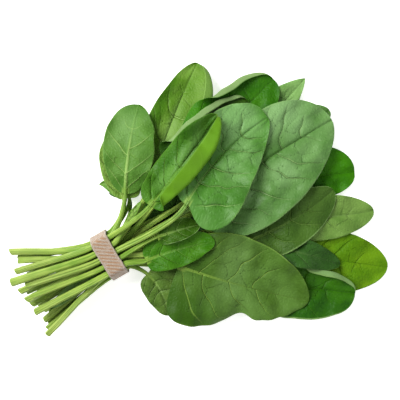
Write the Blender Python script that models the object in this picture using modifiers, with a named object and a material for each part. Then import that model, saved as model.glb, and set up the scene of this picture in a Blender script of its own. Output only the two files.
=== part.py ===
"""A tied bunch of spinach lying on a table.

Each leaf is one piece as it grew: a juicy stalk, cut at one end, that runs into the midrib of
an oval blade. The stalks pass through a short woven band in rows, and the blades fan out from it
and lie on one another. +X runs along the bunch from the cut ends to the leaf tips, +Z is up, and
the table is Z = 0. Lengths below are in millimetres, measured from the middle of the band, and
ORIGIN moves the finished bunch so that the frame's origin is under the middle of its box.
"""

import math
from dataclasses import dataclass

import bmesh
import bpy
import numpy as np

MM = 0.001
ORIGIN = (62.36, -15.16)

# The band, and the rows of stalks that it holds
BAND_WIDTH = 13.5
BAND_THICKNESS = 1.0
BAND_GAP = 0.3
BAND_ROUND_STEPS = 60
ROW_SIZES = (4, 6, 6, 5, 5)
STALK_PITCH = (5.7, 5.0)  # across, up
HELD_LENGTH = 8.0

# The build of a leaf
BLADE_THICKNESS = 0.7
STALK_TAPER = 0.72
RIB_END = 0.3
ROUND_ANGLE = math.radians(80)
BLEND_END = 0.14

# How leaves rest on one another
BLADE_REACH = 0.8
STALK_SPARE = 0.12
TABLE_SPARE = 0.04
STALK_BEND_LENGTH = 34.0
BLADE_BEND_LENGTH = 11.0
ACROSS_BEND_LENGTH = 9.0
CONTACT_WEIGHT = 1e7
CURLED = 0.5  # a part whose normal rises less than this is moved whole
SAMPLE_STEP = 1.6


DEEP = (0.045, 0.14, 0.03)
MID = (0.08, 0.22, 0.05)
SOFT = (0.14, 0.28, 0.09)
BRIGHT = (0.12, 0.33, 0.02)
PALE = (0.28, 0.42, 0.14)
OLIVE = (0.14, 0.24, 0.06)


@dataclass
class Leaf:
    """Where a leaf is held, where it goes, and the form of its blade before it rests on others."""

    name: str
    slot: tuple  # row from the bottom, place from the +Y side
    cut: tuple  # x, y of the cut end
    base: tuple  # x, y where the blade starts
    tip: tuple  # x, y of the tip
    left: float  # half widths of the blade, left and right of the midrib
    right: float
    stalk: float = 4.4  # diameter in the band
    bow: float = 0.0  # how far the midrib turns to the right along the blade, degrees
    base_height: float = 14.0
    tip_height: float = 4.0
    arch: float = 0.0
    roll: float = 0.0  # turn about the midrib, degrees, left side up
    cup: float = 12.0  # how far the sides turn up by their edges, degrees
    fold: float = 6.0  # how far the sides turn up at the midrib, degrees
    curl_left: tuple = (0.6, 1.0, 0.0)  # where the side starts and ends its curl, as shares, and the turn
    curl_right: tuple = (0.6, 1.0, 0.0)
    curl_run: tuple = (0.0, 0.4)  # shares of the blade between which the curl grows to its full turn
    tip_curl: tuple = (1.0, 0.0)  # share of the blade where its end starts to curl up, and the turn
    lobe: float = 0.05  # how far the sides reach back past the base, as a share of the blade
    ear: float = 0.0  # the same for a rounded lobe on the right side only
    blunt: tuple = (0.5, 0.55)  # how fast the outline closes at the base and at the tip
    widest: float = 0.8  # under 1 puts the widest place nearer the base
    blunt_right: tuple = ()  # the same for the right side, where they differ
    widest_right: float = 0.0
    dent: tuple = (0.5, 0.1, 0.0)  # a hollow in the right margin: place, length and depth, as shares
    flare: float = 1.18  # how much thicker the stalk is at its cut end
    turned_over: bool = False  # the underside faces up
    wave: float = 0.8  # height of the waves along the edge
    waves: float = 3.0
    colour: tuple = MID
    columns: int = 3  # strips of the blade on each side of the midrib
    rings: int = 9  # sections along the blade


LEAVES = (
    Leaf("leaf_thin_tip", (0, 0), (-56, 18), (33, 30), (22, 39), 4, 4, 3.0, -40, 8, 6, 0, colour=DEEP),
    Leaf(
        "leaf_under_middle", (0, 1), (-60, 5), (30, 3), (138, 12), 20, 25, 4.4, 3, 4, 0, 0,
        cup=3, fold=1,
    ),
    Leaf(
        "leaf_under_right", (0, 3), (-60, -15), (48, -32), (112, -72), 23, 23, 4.4, -6, 4, 0, 0,
        rings=8, cup=3, fold=1,
    ),
    Leaf(
        "leaf_far_right", (0, 2), (-65, -5), (113, -68), (174, -112), 23, 25, 4.4, 4, 4, 0, 0,
        cup=4, fold=2, colour=BRIGHT,
    ),
    Leaf(
        "leaf_back_small", (1, 0), (-56, 29), (34, 33), (19, 49), 8, 8, 3.4, -30, 9, 6, 0,
        blunt=(0.6, 1.1),
    ),
    Leaf(
        "leaf_pointed", (1, 1), (-60, 17), (118, 12), (191, 41), 20, 15, 4.2, 4, 6, 3, 0,
        blunt=(0.55, 0.85), cup=5, fold=3,
    ),
    Leaf(
        "leaf_top_sliver", (1, 2), (-66, 7), (112, 8), (195, 11), 21, 16, 4.2, 0, 7, 3, 0,
        cup=5, fold=3, colour=SOFT,
    ),
    Leaf(
        "leaf_right_dark", (1, 3), (-64, -2), (125, -13), (188, -38), 24, 18, 4.4, 4, 7, 3, 0,
        blunt=(0.5, 0.42), cup=5, fold=3, colour=DEEP,
    ),
    Leaf(
        "leaf_right_tip", (1, 4), (-62, -11), (125, -42), (186, -70), 17, 17, 4.2, -4, 7, 3, 0,
        cup=5, fold=3, colour=SOFT,
    ),
    Leaf(
        "leaf_cupped_right", (1, 5), (-64, -21), (80, -72), (143, -116), 24, 24, 4.4, 4, 8, 3, 0,
        cup=14, fold=6, curl_left=(0.6, 0.86, 140), curl_run=(0.3, 0.6), columns=5, rings=11,
        blunt=(0.5, 0.42), colour=BRIGHT,
    ),
    Leaf(
        "leaf_back_left", (2, 0), (-58, 33), (30, 31), (46, 75), 11, 15, 4.0, 12, 12, 8, 2,
        widest=1.5,
    ),
    Leaf(
        "leaf_boat", (2, 1), (-62, 23), (48, 26), (127, 91), 19, 27, 4.4, 4, 14, 6, 2,
        fold=9, cup=16, curl_right=(0.6, 0.84, 145), curl_run=(0.45, 0.75), columns=5, blunt=(0.5, 0.62),
        blunt_right=(0.5, 0.45), widest_right=1.3, colour=BRIGHT,
    ),
    Leaf(
        "leaf_tall_back", (2, 2), (-70, 9.5), (84, 29), (170, 52), 29, 20, 4.4, 0, 12, 6, 0,
        cup=6, fold=3, curl_left=(0.64, 0.86, 140), curl_run=(0.35, 0.65), columns=5,
        blunt=(0.5, 0.42), widest=1.0, rings=11, colour=BRIGHT,
    ),
    Leaf(
        "leaf_low_left", (2, 5), (-66, -24), (17, -26), (14, -61), 13, 12, 3.8, 24, 11, 2, 0,
        cup=-10, colour=OLIVE,
    ),
    Leaf(
        "leaf_narrow_dark", (2, 4), (-65, -17.5), (94, -44), (144, -92), 12, 11, 4.2, 6, 9, 4, 0,
        cup=6, fold=3, colour=DEEP,
    ),
    Leaf(
        "leaf_olive", (2, 3), (-67, -3), (92, -42), (167, -41), 19, 20, 4.4, -10, 10, 5, 0,
        cup=6, fold=3, colour=OLIVE,
    ),
    Leaf(
        "leaf_turned_back", (3, 3), (24, -13), (-16, -6), (-57, -12), 5, 5, 4.0, 0, 19, 18, 0,
        rings=6, colour=PALE,
    ),
    Leaf(
        "leaf_pale_back", (3, 0), (-61, 38), (33, 33), (74, 85), 20, 19, 4.4, 6, 17, 10, 2,
        lobe=0.0, blunt=(0.85, 0.5), blunt_right=(0.62, 0.55), widest_right=0.8, turned_over=True,
        colour=SOFT,
    ),
    Leaf(
        "leaf_sliver", (3, 1), (-59, 29.6), (72, 34), (145, 47), 25, 13, 4.2, -4, 18, 8, 2,
        cup=6, fold=3, curl_left=(0.6, 0.84, 140), curl_run=(0.0, 0.25), columns=5,
        blunt=(0.3, 0.34), widest=1.0,
    ),
    Leaf(
        "leaf_main_right", (3, 2), (-67, 1.5), (72, 0), (192, 4), 33, 42, 4.6, 2, 18, 9, 3,
        cup=5, fold=3, blunt=(0.93, 0.5), widest=1.0, blunt_right=(0.9, 0.6), widest_right=0.5,
        columns=4, colour=SOFT,
    ),
    Leaf(
        "leaf_front_big", (3, 4), (-67, -27.5), (40, -32), (110, -103), 36, 40, 4.0, -4, 16, 5, 2,
        cup=3, lobe=0.0, blunt_right=(0.5, 0.72), widest_right=0.5, dent=(0.53, 0.13, 0.32),
        curl_right=(0.45, 1.0, -40), columns=4, rings=11,
    ),
    Leaf(
        "leaf_small_bright", (4, 4), (-66, -9), (22, -17), (72, -30), 14, 13, 4.6, 8, 22, 12, 2,
        colour=BRIGHT,
    ),
    Leaf(
        "leaf_small_olive", (4, 3), (-61, 2), (38, -6), (69, -14), 9, 8, 3.8, 4, 24, 16, 1,
        rings=7, colour=OLIVE,
    ),
    Leaf(
        "leaf_main_left", (4, 2), (-61, 10.6), (68, 4), (151, 29), 27, 36, 4.6, 15, 24, 16, 3,
        lobe=0.03, ear=0.1, blunt=(0.6, 0.42), widest=1.0, blunt_right=(0.5, 0.6), widest_right=0.5,
        columns=4, rings=11,
    ),
    Leaf(
        "leaf_stump", (4, 1), (-69, 18), (24, 14), (40, 22), 2.4, 2.4, 4.4, 0, 24, 24, 0,
        flare=1.45, rings=4, colour=PALE,
    ),
    Leaf(
        "leaf_rolled", (4, 0), (-64, 23.5), (45, 16), (118, 47), 17, 34, 4.2, -2, 24, 16, 2,
        cup=8, curl_right=(0.3, 0.58, 162), curl_run=(0.0, 0.14), tip_curl=(0.86, 50), columns=7,
        lobe=0.0, blunt=(0.4, 0.45), blunt_right=(0.7, 0.42), rings=12, colour=BRIGHT,
    ),
)


def smoothstep(low, high, x):
    x = np.clip((x - low) / (high - low), 0.0, 1.0)
    return x * x * (3 - 2 * x)


def turned(vector, degrees):
    angle = math.radians(degrees)
    x, y = vector
    return np.array([x * math.cos(angle) - y * math.sin(angle), x * math.sin(angle) + y * math.cos(angle)])


def hermite(start, end, start_way, end_way, u, start_pull=1.0, end_pull=1.0):
    """Points at shares u of a smooth curve that leaves start and arrives at end along the given ways."""
    u = np.asarray(u, float)[:, None]
    length = np.linalg.norm(np.subtract(end, start))
    a = np.asarray(start_way, float) / np.linalg.norm(start_way) * length * start_pull
    b = np.asarray(end_way, float) / np.linalg.norm(end_way) * length * end_pull
    return (
        (2 * u**3 - 3 * u**2 + 1) * start
        + (u**3 - 2 * u**2 + u) * a
        + (3 * u**2 - 2 * u**3) * end
        + (u**3 - u**2) * b
    )


def slot_centre(slot):
    """y, z of a place in the band."""
    row, place = slot
    y = ((ROW_SIZES[row] - 1) / 2 - place) * STALK_PITCH[0]
    z = BAND_THICKNESS + BAND_GAP + (row + 0.5) * STALK_PITCH[1]
    return y, z


def centre_line(leaf, cut_u, grow_u, blade_t):
    """The middle of the stalk and midrib: x, y, z at shares of the cut end's run, of the run from the
    band to the blade, and of the blade. The stretch in the band is straight."""
    slot_y, slot_z = slot_centre(leaf.slot)
    way = 1.0 if leaf.cut[0] < 0 else -1.0
    band_in = np.array([-way * HELD_LENGTH, slot_y])
    band_out = np.array([way * HELD_LENGTH, slot_y])
    cut, base, tip = np.array(leaf.cut, float), np.array(leaf.base, float), np.array(leaf.tip, float)
    along = np.array([way, 0.0])
    blade_way = tip - base
    first = hermite(cut, band_in, band_in - cut, along, cut_u, 1.0, 0.5)
    second = hermite(band_out, base, along, turned(blade_way, leaf.bow), grow_u, 0.5, 0.9)
    third = hermite(base, tip, turned(blade_way, leaf.bow), turned(blade_way, -leaf.bow), blade_t)
    cut_z = slot_z * 0.8 + (slot_z * 0.2) * smoothstep(0, 1, np.asarray(cut_u))
    grow_z = slot_z + (leaf.base_height - slot_z) * smoothstep(0, 1, np.asarray(grow_u))
    t = np.asarray(blade_t)
    drop = leaf.base_height - leaf.tip_height
    blade_z = leaf.base_height - drop * t**2 + leaf.arch * np.sin(math.pi * t) ** 2
    flat = np.concatenate([first, second, third])
    return np.column_stack([flat, np.concatenate([cut_z, grow_z, blade_z])])


def outline(leaf, t, side):
    """Share of the half width at share t of the blade: zero at its ends and 1 at its widest place."""
    low, high = leaf.blunt_right if side < 0 and leaf.blunt_right else leaf.blunt
    peak = (low / (low + high)) ** low * (high / (low + high)) ** high
    widest = leaf.widest_right if side < 0 and leaf.widest_right else leaf.widest
    u = np.clip(t, 0, 1) ** widest
    share = u**low * (1 - u) ** high / peak
    if side < 0:
        place, length, depth = leaf.dent
        share = share * (1 - depth * np.exp(-(((t - place) / length) ** 2)))
    return share


def side_section(leaf, half_width, x, t, side):
    """Sideways and upward place, and slope, at shares x of one side of the blade, for one section."""
    start, end, turn = leaf.curl_left if side > 0 else leaf.curl_right
    steps = np.linspace(0, 1, 49)
    window = smoothstep(0, 0.18, t)
    slope = (
        math.radians(leaf.fold) * window
        + math.radians(leaf.cup) * steps * window
        + math.radians(turn) * smoothstep(start, end, steps) * smoothstep(*leaf.curl_run, t)
    )
    middle = (slope[1:] + slope[:-1]) / 2
    out = np.concatenate([[0], np.cumsum(np.cos(middle))]) / 48 * half_width
    up = np.concatenate([[0], np.cumsum(np.sin(middle))]) / 48 * half_width
    phase = 0.9 if side > 0 else 2.6
    ripple = leaf.wave * np.sin(2 * math.pi * leaf.waves * t + phase) * window
    up = up + ripple * steps**3
    return np.interp(x, steps, out), np.interp(x, steps, up), np.interp(x, steps, slope)


def curl_tip(leaf, points, normals):
    """Bends the end of the blade up about a line across it."""
    start, turn = leaf.tip_curl
    if not turn:
        return points, normals
    run = np.subtract(leaf.tip, leaf.base)
    length = np.linalg.norm(run)
    forward = np.array([*run / length, 0.0])
    drop = leaf.base_height - leaf.tip_height
    height = leaf.base_height - drop * start**2 + leaf.arch * math.sin(math.pi * start) ** 2
    origin = np.array([*(np.array(leaf.base) + run * start), height])
    bend = (1 - start) * length / math.radians(turn)
    ahead = (points - origin) @ forward
    angle = np.clip(ahead / bend, 0.0, math.radians(turn))
    up = points[:, :, 2] - origin[2]
    past = ahead - angle * bend
    new_ahead = (bend - up) * np.sin(angle) + past * np.cos(angle)
    new_up = bend - (bend - up) * np.cos(angle) + past * np.sin(angle)
    points = points + (new_ahead - ahead)[:, :, None] * forward
    points[:, :, 2] = origin[2] + new_up
    n_ahead, n_up = normals @ forward, normals[:, :, 2]
    tilted = normals + (n_ahead * np.cos(angle) - n_up * np.sin(angle) - n_ahead)[:, :, None] * forward
    tilted[:, :, 2] = n_ahead * np.sin(angle) + n_up * np.cos(angle)
    return points, tilted


def leaf_surface(leaf, cut_u, grow_u, blade_t, columns):
    """The middle surface of a leaf with its thickness. Returns the points (sections x columns x 3),
    the unit normals, the thickness above and below the middle, and facts for each section."""
    line = centre_line(leaf, cut_u, grow_u, blade_t)
    stalk_count = len(cut_u) + len(grow_u)
    share = np.concatenate([np.full(stalk_count, -1.0), blade_t])
    radius_band = leaf.stalk / 2
    radius = np.concatenate([
        radius_band * (leaf.flare + (1 - leaf.flare) * np.asarray(cut_u)),
        radius_band * (1 + (STALK_TAPER - 1) * np.asarray(grow_u)),
        radius_band * STALK_TAPER * (1 - np.asarray(blade_t)) ** 0.8 * (1 - RIB_END) + RIB_END,
    ])
    way = np.gradient(line[:, :2], axis=0)
    way /= np.linalg.norm(way, axis=1)[:, None]
    k = np.arange(-columns, columns + 1) / columns
    count = len(share)
    points, normals = np.zeros((count, len(k), 3)), np.zeros((count, len(k), 3))
    above, below = np.zeros((count, len(k))), np.zeros((count, len(k)))
    length = np.linalg.norm(np.subtract(leaf.tip, leaf.base))
    spread = np.abs(k) ** 1.25
    round_part = np.sin(ROUND_ANGLE * np.abs(k))
    for i, t in enumerate(share):
        t_blade = max(t, 0.0)
        roll = math.radians(leaf.roll) * (float(smoothstep(0, 0.25, t_blade)) if t > 0 else 0.0)
        forward = np.array([way[i, 0], way[i, 1], 0.0])
        side_flat = np.array([-way[i, 1], way[i, 0], 0.0])
        up_flat = np.array([0.0, 0.0, 1.0])
        side_way = math.cos(roll) * side_flat + math.sin(roll) * up_flat
        up_way = -math.sin(roll) * side_flat + math.cos(roll) * up_flat
        blend = float(smoothstep(0, BLEND_END, t_blade)) if t > 0 else 0.0
        for side in (-1, 1):
            chosen = k * side >= 0
            full = leaf.left if side > 0 else leaf.right
            grown = outline(leaf, t_blade, side) if t > 0 else 0.0
            half = radius[i] + max(full - radius[i], 0) * grown
            q = radius[i] * round_part[chosen] + (half - radius[i]) * spread[chosen]
            x = q / half
            out, up, slope = side_section(leaf, half, x, t_blade, side)
            back = -leaf.lobe * length * x**1.5 * (1 - t_blade) ** 3 * grown
            if side < 0:
                near_base = 1 - smoothstep(0.08, 0.3, t_blade)
                back = back - leaf.ear * length * x**1.5 * math.sin(math.pi * grown) * near_base
            points[i, chosen] = (
                line[i]
                + np.outer(out * side, side_way)
                + np.outer(up, up_way)
                + np.outer(back, forward)
            )
            across = np.outer(-np.sin(slope) * side, side_way)
            normals[i, chosen] = across + np.outer(np.cos(slope), up_way)
            stalk_part = radius[i] * np.cos(ROUND_ANGLE * np.abs(k[chosen]))
            rib = radius[i] * np.exp(-((q / (1.1 * radius[i])) ** 2))
            thin = BLADE_THICKNESS / 2
            faces = [(1 - blend) * stalk_part + blend * (thin + part * rib) for part in (0.1, 0.8)]
            above[i, chosen], below[i, chosen] = reversed(faces) if leaf.turned_over else faces
    points, normals = curl_tip(leaf, points, normals)
    return points, normals, above, below, share, radius


def plain_sections(leaf):
    """Where the solid's sections stand: along the cut end, up to the blade, and close together at the
    blade's round ends."""
    blade_t = (1 - np.cos(math.pi * np.linspace(0, 1, leaf.rings + 1))) / 2
    blade_t[-1] = 1.0
    return (0.0, 0.33, 0.66, 1.0), (0.0, 0.22, 0.45, 0.7, 0.9), blade_t


def contact_samples(points, below, share, radius):
    """Spots on a leaf that may touch others: their weights on the surface's points, and their reach."""
    count, wide = points.shape[:2]
    middle = wide // 2
    weights, reach, under = [], [], []

    def add(cells, size, floor_size):
        row = np.zeros(count * wide)
        for index, weight in cells:
            row[index] += weight
        weights.append(row)
        reach.append(size)
        under.append(floor_size)

    for i in range(count - 1):
        gap = np.linalg.norm(points[i + 1, middle] - points[i, middle])
        n = max(1, int(math.ceil(gap / SAMPLE_STEP)))
        for u in (np.arange(n) + 0.5) / n:
            thick = (1 - u) * below[i, middle] + u * below[i + 1, middle]
            if share[i + 1] <= 0:
                size = (1 - u) * radius[i] + u * radius[i + 1] + STALK_SPARE
            else:
                size = max(BLADE_REACH, thick + 0.5)
            add([(i * wide + middle, 1 - u), ((i + 1) * wide + middle, u)], size, thick)
        if share[i + 1] <= 0:
            continue
        for j in range(wide - 1):
            corners = [(i, j), (i, j + 1), (i + 1, j), (i + 1, j + 1)]
            p = [points[c] for c in corners]
            across = max(np.linalg.norm(p[1] - p[0]), np.linalg.norm(p[3] - p[2]))
            along = max(np.linalg.norm(p[2] - p[0]), np.linalg.norm(p[3] - p[1]))
            n_across = max(1, int(math.ceil(across / SAMPLE_STEP)))
            n_along = max(1, int(math.ceil(along / SAMPLE_STEP)))
            for u in (np.arange(n_along) + 0.5) / n_along:
                for v in np.linspace(0, 1, n_across + 1):
                    share_of = [(1 - u) * (1 - v), (1 - u) * v, u * (1 - v), u * v]
                    cells = [(a * wide + b, s) for (a, b), s in zip(corners, share_of)]
                    add(cells, BLADE_REACH, BLADE_THICKNESS / 2)
    return np.array(weights), np.array(reach), np.array(under)


def bending(points, normals, share):
    """The quadratic form that holds a leaf to its own form: it resists bending along and across, and
    keeps the sections of the stalk whole, its stretch in the band in place, and curled parts as they are."""
    count, wide = points.shape[:2]
    size = count * wide
    form = np.zeros((size, size))

    def add(indices, factors, weight):
        f = np.array(factors)
        form[np.ix_(indices, indices)] += weight * np.outer(f, f)

    middle = wide // 2
    gaps = np.linalg.norm(np.diff(points[:, middle], axis=0), axis=1)
    for i in range(count):
        span = (gaps[max(i - 1, 0)] + gaps[min(i, count - 2)]) / 2
        for j in range(wide):
            add([i * wide + j], [1.0], span)
            if 0 < i < count - 1:
                a, b = gaps[i - 1], gaps[i]
                bend = STALK_BEND_LENGTH if share[i] <= 0 else BLADE_BEND_LENGTH
                factors = np.array([1 / a, -1 / a - 1 / b, 1 / b]) * 2 / (a + b)
                add([(i + d) * wide + j for d in (-1, 0, 1)], factors, bend**4 * span)
        if share[i] <= 0:
            for j in range(wide):
                if j != middle:
                    add([i * wide + j, i * wide + middle], [1.0, -1.0], 1e8)
        else:
            steps = np.maximum(np.linalg.norm(np.diff(points[i], axis=0), axis=1), 0.5)
            for j in range(wide):
                inner = j + (1 if j < middle else -1)
                if j != middle and normals[i, j, 2] < CURLED:
                    add([i * wide + j, i * wide + inner], [1.0, -1.0], 1e7)
            if normals[i, middle, 2] < CURLED + 0.3:
                for j in range(wide):
                    add([i * wide + j, (i - 1) * wide + j], [1.0, -1.0], 1e7)
            for j in range(1, wide - 1):
                a, b = steps[j - 1], steps[j]
                factors = np.array([1 / a, -1 / a - 1 / b, 1 / b]) * 2 / (a + b)
                add([i * wide + j + d for d in (-1, 0, 1)], factors, ACROSS_BEND_LENGTH**4 * span)
        if abs(points[i, middle, 0]) <= HELD_LENGTH + 0.01 and share[i] <= 0:
            add([i * wide + middle], [1.0], 1e10)
    return form


def lift_onto(points, form, weights, reach, under, placed):
    """How far each point of a leaf is lifted, so that it clears the table and the leaves already placed."""
    spots = weights @ points.reshape(-1, 3)
    needed = under + TABLE_SPARE - spots[:, 2]
    if len(placed):
        near = (
            (placed[:, 0] > spots[:, 0].min() - 6)
            & (placed[:, 0] < spots[:, 0].max() + 6)
            & (placed[:, 1] > spots[:, 1].min() - 6)
            & (placed[:, 1] < spots[:, 1].max() + 6)
        )
        others = placed[near]
        for i in range(0, len(spots), 400):
            part = slice(i, i + 400)
            sideways = spots[part, None, :2] - others[None, :, :2]
            apart = (sideways**2).sum(axis=2)
            room = (reach[part, None] + others[None, :, 3]) ** 2 - apart
            height = np.where(room > 0, others[None, :, 2] + np.sqrt(np.maximum(room, 0)), -1e3)
            needed[part] = np.maximum(needed[part], height.max(axis=1) - spots[part, 2])
    lift = np.zeros(len(form))

    def strain(h):
        pressed = np.maximum(needed - weights @ h, 0.0)
        return h @ form @ h + CONTACT_WEIGHT * pressed @ pressed

    for _ in range(60):
        pressed = weights @ lift < needed
        if not pressed.any():
            break
        w = weights[pressed]
        aim = np.linalg.solve(form + CONTACT_WEIGHT * w.T @ w, CONTACT_WEIGHT * w.T @ needed[pressed])
        step = aim - lift
        now = strain(lift)
        while strain(lift + step) > now and np.abs(step).max() > 1e-5:
            step = step / 2
        lift = lift + step
        if np.abs(step).max() < 1e-4:
            break
    return lift


def rested_leaves():
    """Places the leaves one by one from the bottom, each on those before it."""
    placed = np.zeros((0, 4))
    rested = []
    for leaf in LEAVES:
        sections = plain_sections(leaf)
        points, normals, above, below, share, radius = leaf_surface(leaf, *sections, leaf.columns)
        weights, reach, under = contact_samples(points, below, share, radius)
        form = bending(points, normals, share)
        lift = lift_onto(points, form, weights, reach, under, placed)
        points[:, :, 2] += lift.reshape(points.shape[:2])
        spots = weights @ points.reshape(-1, 3)
        placed = np.vstack([placed, np.column_stack([spots, reach])])
        rested.append((leaf, points, normals, above, below))
    return rested


def principled(name, colour, roughness, metallic=0.0):
    material = bpy.data.materials.new(name)
    material.use_nodes = True
    shader = material.node_tree.nodes["Principled BSDF"]
    shader.inputs["Base Color"].default_value = (*colour, 1.0)
    shader.inputs["Roughness"].default_value = roughness
    shader.inputs["Metallic"].default_value = metallic
    return material


def add_object(name, mesh, collection, material):
    mesh.materials.append(material)
    made = bpy.data.objects.new(name, mesh)
    collection.objects.link(made)
    return made


def make_leaf(leaf, points, normals, above, below, collection, material):
    """A closed loft: the upper points of each section, then the lower ones, section after section."""
    top = points + normals * above[:, :, None]
    bottom = points - normals * below[:, :, None]
    count, wide = points.shape[:2]
    ring = 2 * wide
    loops = np.concatenate([top, bottom[:, ::-1]], axis=1)
    shift = np.array([-ORIGIN[0], -ORIGIN[1], 0.0])
    body = bmesh.new()
    vertices = [body.verts.new(p) for p in (loops.reshape(-1, 3) + shift) * MM]
    for i in range(count - 1):
        for j in range(ring):
            a, b = i * ring + j, i * ring + (j + 1) % ring
            c, d = b + ring, a + ring
            # Both faces of the blade are split along the same diagonal.
            upper = j < wide
            faces = ((a, b, c), (a, c, d)) if upper else ((a, b, d), (b, c, d))
            for face in faces:
                body.faces.new([vertices[v] for v in face])
    for i in (0, count - 1):
        for j in range(wide - 1):
            a, b = i * ring + j, i * ring + j + 1
            c, d = i * ring + ring - 2 - j, i * ring + ring - 1 - j
            body.faces.new([vertices[v] for v in (a, b, c)])
            body.faces.new([vertices[v] for v in (a, c, d)])
    bmesh.ops.recalc_face_normals(body, faces=body.faces)
    mesh = bpy.data.meshes.new(leaf.name)
    body.to_mesh(mesh)
    body.free()
    mesh.shade_smooth()
    return add_object(leaf.name, mesh, collection, material)


def make_band(collection, material):
    """A strap pulled tight round the stalks: an open loop given its thickness outwards."""
    centres = [slot_centre(leaf.slot) for leaf in LEAVES]
    reach = STALK_PITCH[1] / 2 + BAND_GAP
    loop = []
    for step in range(BAND_ROUND_STEPS):
        angle = 2 * math.pi * (step + 0.5) / BAND_ROUND_STEPS
        way = np.array([math.cos(angle), math.sin(angle)])
        y, z = max(centres, key=lambda centre: centre[0] * way[0] + centre[1] * way[1])
        loop.append((y + way[0] * reach, z + way[1] * reach))
    body = bmesh.new()
    rows = []
    for x in (-BAND_WIDTH / 2, BAND_WIDTH / 2):
        rows.append([body.verts.new(((x - ORIGIN[0]) * MM, (y - ORIGIN[1]) * MM, z * MM)) for y, z in loop])
    for j in range(BAND_ROUND_STEPS):
        n = (j + 1) % BAND_ROUND_STEPS
        body.faces.new([rows[0][j], rows[1][j], rows[1][n], rows[0][n]])
    bmesh.ops.recalc_face_normals(body, faces=body.faces)
    mesh = bpy.data.meshes.new("tie_band")
    body.to_mesh(mesh)
    body.free()
    made = add_object("tie_band", mesh, collection, material)
    shell = made.modifiers.new("thickness", "SOLIDIFY")
    shell.thickness = BAND_THICKNESS * MM
    shell.offset = 1.0
    shell.use_even_offset = True
    return made


def main():
    for old in list(bpy.data.objects):
        bpy.data.objects.remove(old)
    collection = bpy.data.collections.new("spinach_bunch")
    bpy.context.scene.collection.children.link(collection)
    for leaf, points, normals, above, below in rested_leaves():
        green = principled(leaf.name.replace("leaf_", "green_"), leaf.colour, 0.45)
        make_leaf(leaf, points, normals, above, below, collection, green)
    make_band(collection, principled("woven_band", (0.55, 0.42, 0.33), 0.9))


main()
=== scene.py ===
"""Looks for the tied bunch of spinach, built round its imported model.

Lengths for the leaves are in millimetres, measured from the middle of the band: +X runs along the
bunch towards the leaf tips and +Z is up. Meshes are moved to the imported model's frame, in metres.
"""

import math

import bpy
import numpy as np
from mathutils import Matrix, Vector


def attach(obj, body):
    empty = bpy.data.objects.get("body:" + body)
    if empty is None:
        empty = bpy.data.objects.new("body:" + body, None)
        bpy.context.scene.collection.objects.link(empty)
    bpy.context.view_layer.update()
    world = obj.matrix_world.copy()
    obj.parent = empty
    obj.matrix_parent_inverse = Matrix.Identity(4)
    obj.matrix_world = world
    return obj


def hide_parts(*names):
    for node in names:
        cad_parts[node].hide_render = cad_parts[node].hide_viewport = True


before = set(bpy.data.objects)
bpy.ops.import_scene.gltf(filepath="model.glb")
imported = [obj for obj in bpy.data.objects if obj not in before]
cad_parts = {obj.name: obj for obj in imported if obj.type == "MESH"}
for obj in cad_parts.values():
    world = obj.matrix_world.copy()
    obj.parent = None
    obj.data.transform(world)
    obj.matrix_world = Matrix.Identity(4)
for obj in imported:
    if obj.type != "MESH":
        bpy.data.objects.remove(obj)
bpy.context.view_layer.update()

# Leaves of the lowest row, which lie on the table: one tiny leaf at the back, two wide ones that
# the others cover, and the bright one at the far right. Each is one grown piece, a juicy stalk that
# runs into the midrib of a thin blade, and it is held only where its stalk passes through the band.

MM = 0.001
BUNCH_MIDDLE = np.array([62.36, -15.16, 0.0])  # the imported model's origin
ROW_SIZES = (4, 6, 6, 5, 5)  # stalks in each row in the band, from the table up
STALK_PITCH = (5.7, 5.0)  # from stalk to stalk, and from row to row
BAND_THICKNESS = 1.0
BAND_GAP = 0.3
HELD_LENGTH = 8.0  # how far a stalk runs straight on each side of the band's middle
CUT_DROP = 0.2  # how much lower a cut end lies than its stalk in the band, as a share
STALK_TAPER = 0.72
RIB_END = 0.3
ROUND_ANGLE = math.radians(80)

LEAF_FORM = dict(
    stalk=4.4, bow=0.0, arch=0.0, cup=12.0, fold=6.0,
    curl_left=(0.6, 1.0, 0.0), curl_right=(0.6, 1.0, 0.0), curl_run=(0.0, 0.4), tip_curl=(1.0, 0.0),
    lobe=0.05, ear=0.0, blunt=(0.5, 0.55), widest=0.8,
    blunt_right=(), widest_right=0.0, dent=(0.5, 0.1, 0.0), flare=1.18, turned_over=False,
    wave=0.8, waves=3.0, columns=3, rings=9,
    quilt=1.0, roll=1.0, veins_fade=(0.62, 0.84), deep=(), sheen=(),
)

# How the real blade differs from a smooth one, in millimetres: heights, then widths or wave lengths
VEIN_SINK, VEIN_HALF = 0.4, 0.9
PILLOW, PILLOW_REACH, RIB_REACH = 0.5, 2.2, 2.5
PUCKER, PUCKER_REACH = 0.3, 0.9
ROLL, ROLL_LENGTHS = 1.0, (34, 13)
RUFFLE, RUFFLE_LENGTHS = 0.6, (21, 7)
WANDER, WANDER_LENGTHS = 0.012, (26, 9)  # of the side veins, as a share of the blade's length
CELL_SIZE = 6.5
PAIR_SPACING = 24
BLADE_HALF, EDGE_HALF = 0.24, 0.12


def smooth(low, high, x):
    """Goes smoothly from 0 to 1 as x goes from low to high."""
    x = np.clip((x - low) / (high - low), 0.0, 1.0)
    return x * x * (3 - 2 * x)


def turned(vector, degrees):
    (x, y), cos, sin = vector, math.cos(math.radians(degrees)), math.sin(math.radians(degrees))
    return np.array([x * cos - y * sin, x * sin + y * cos])


def pulls(u):
    """What a curve's start, its way there, its end and its way there each add at share u of it."""
    return 2 * u**3 - 3 * u**2 + 1, u**3 - 2 * u**2 + u, 3 * u**2 - 2 * u**3, u**3 - u**2


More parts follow.
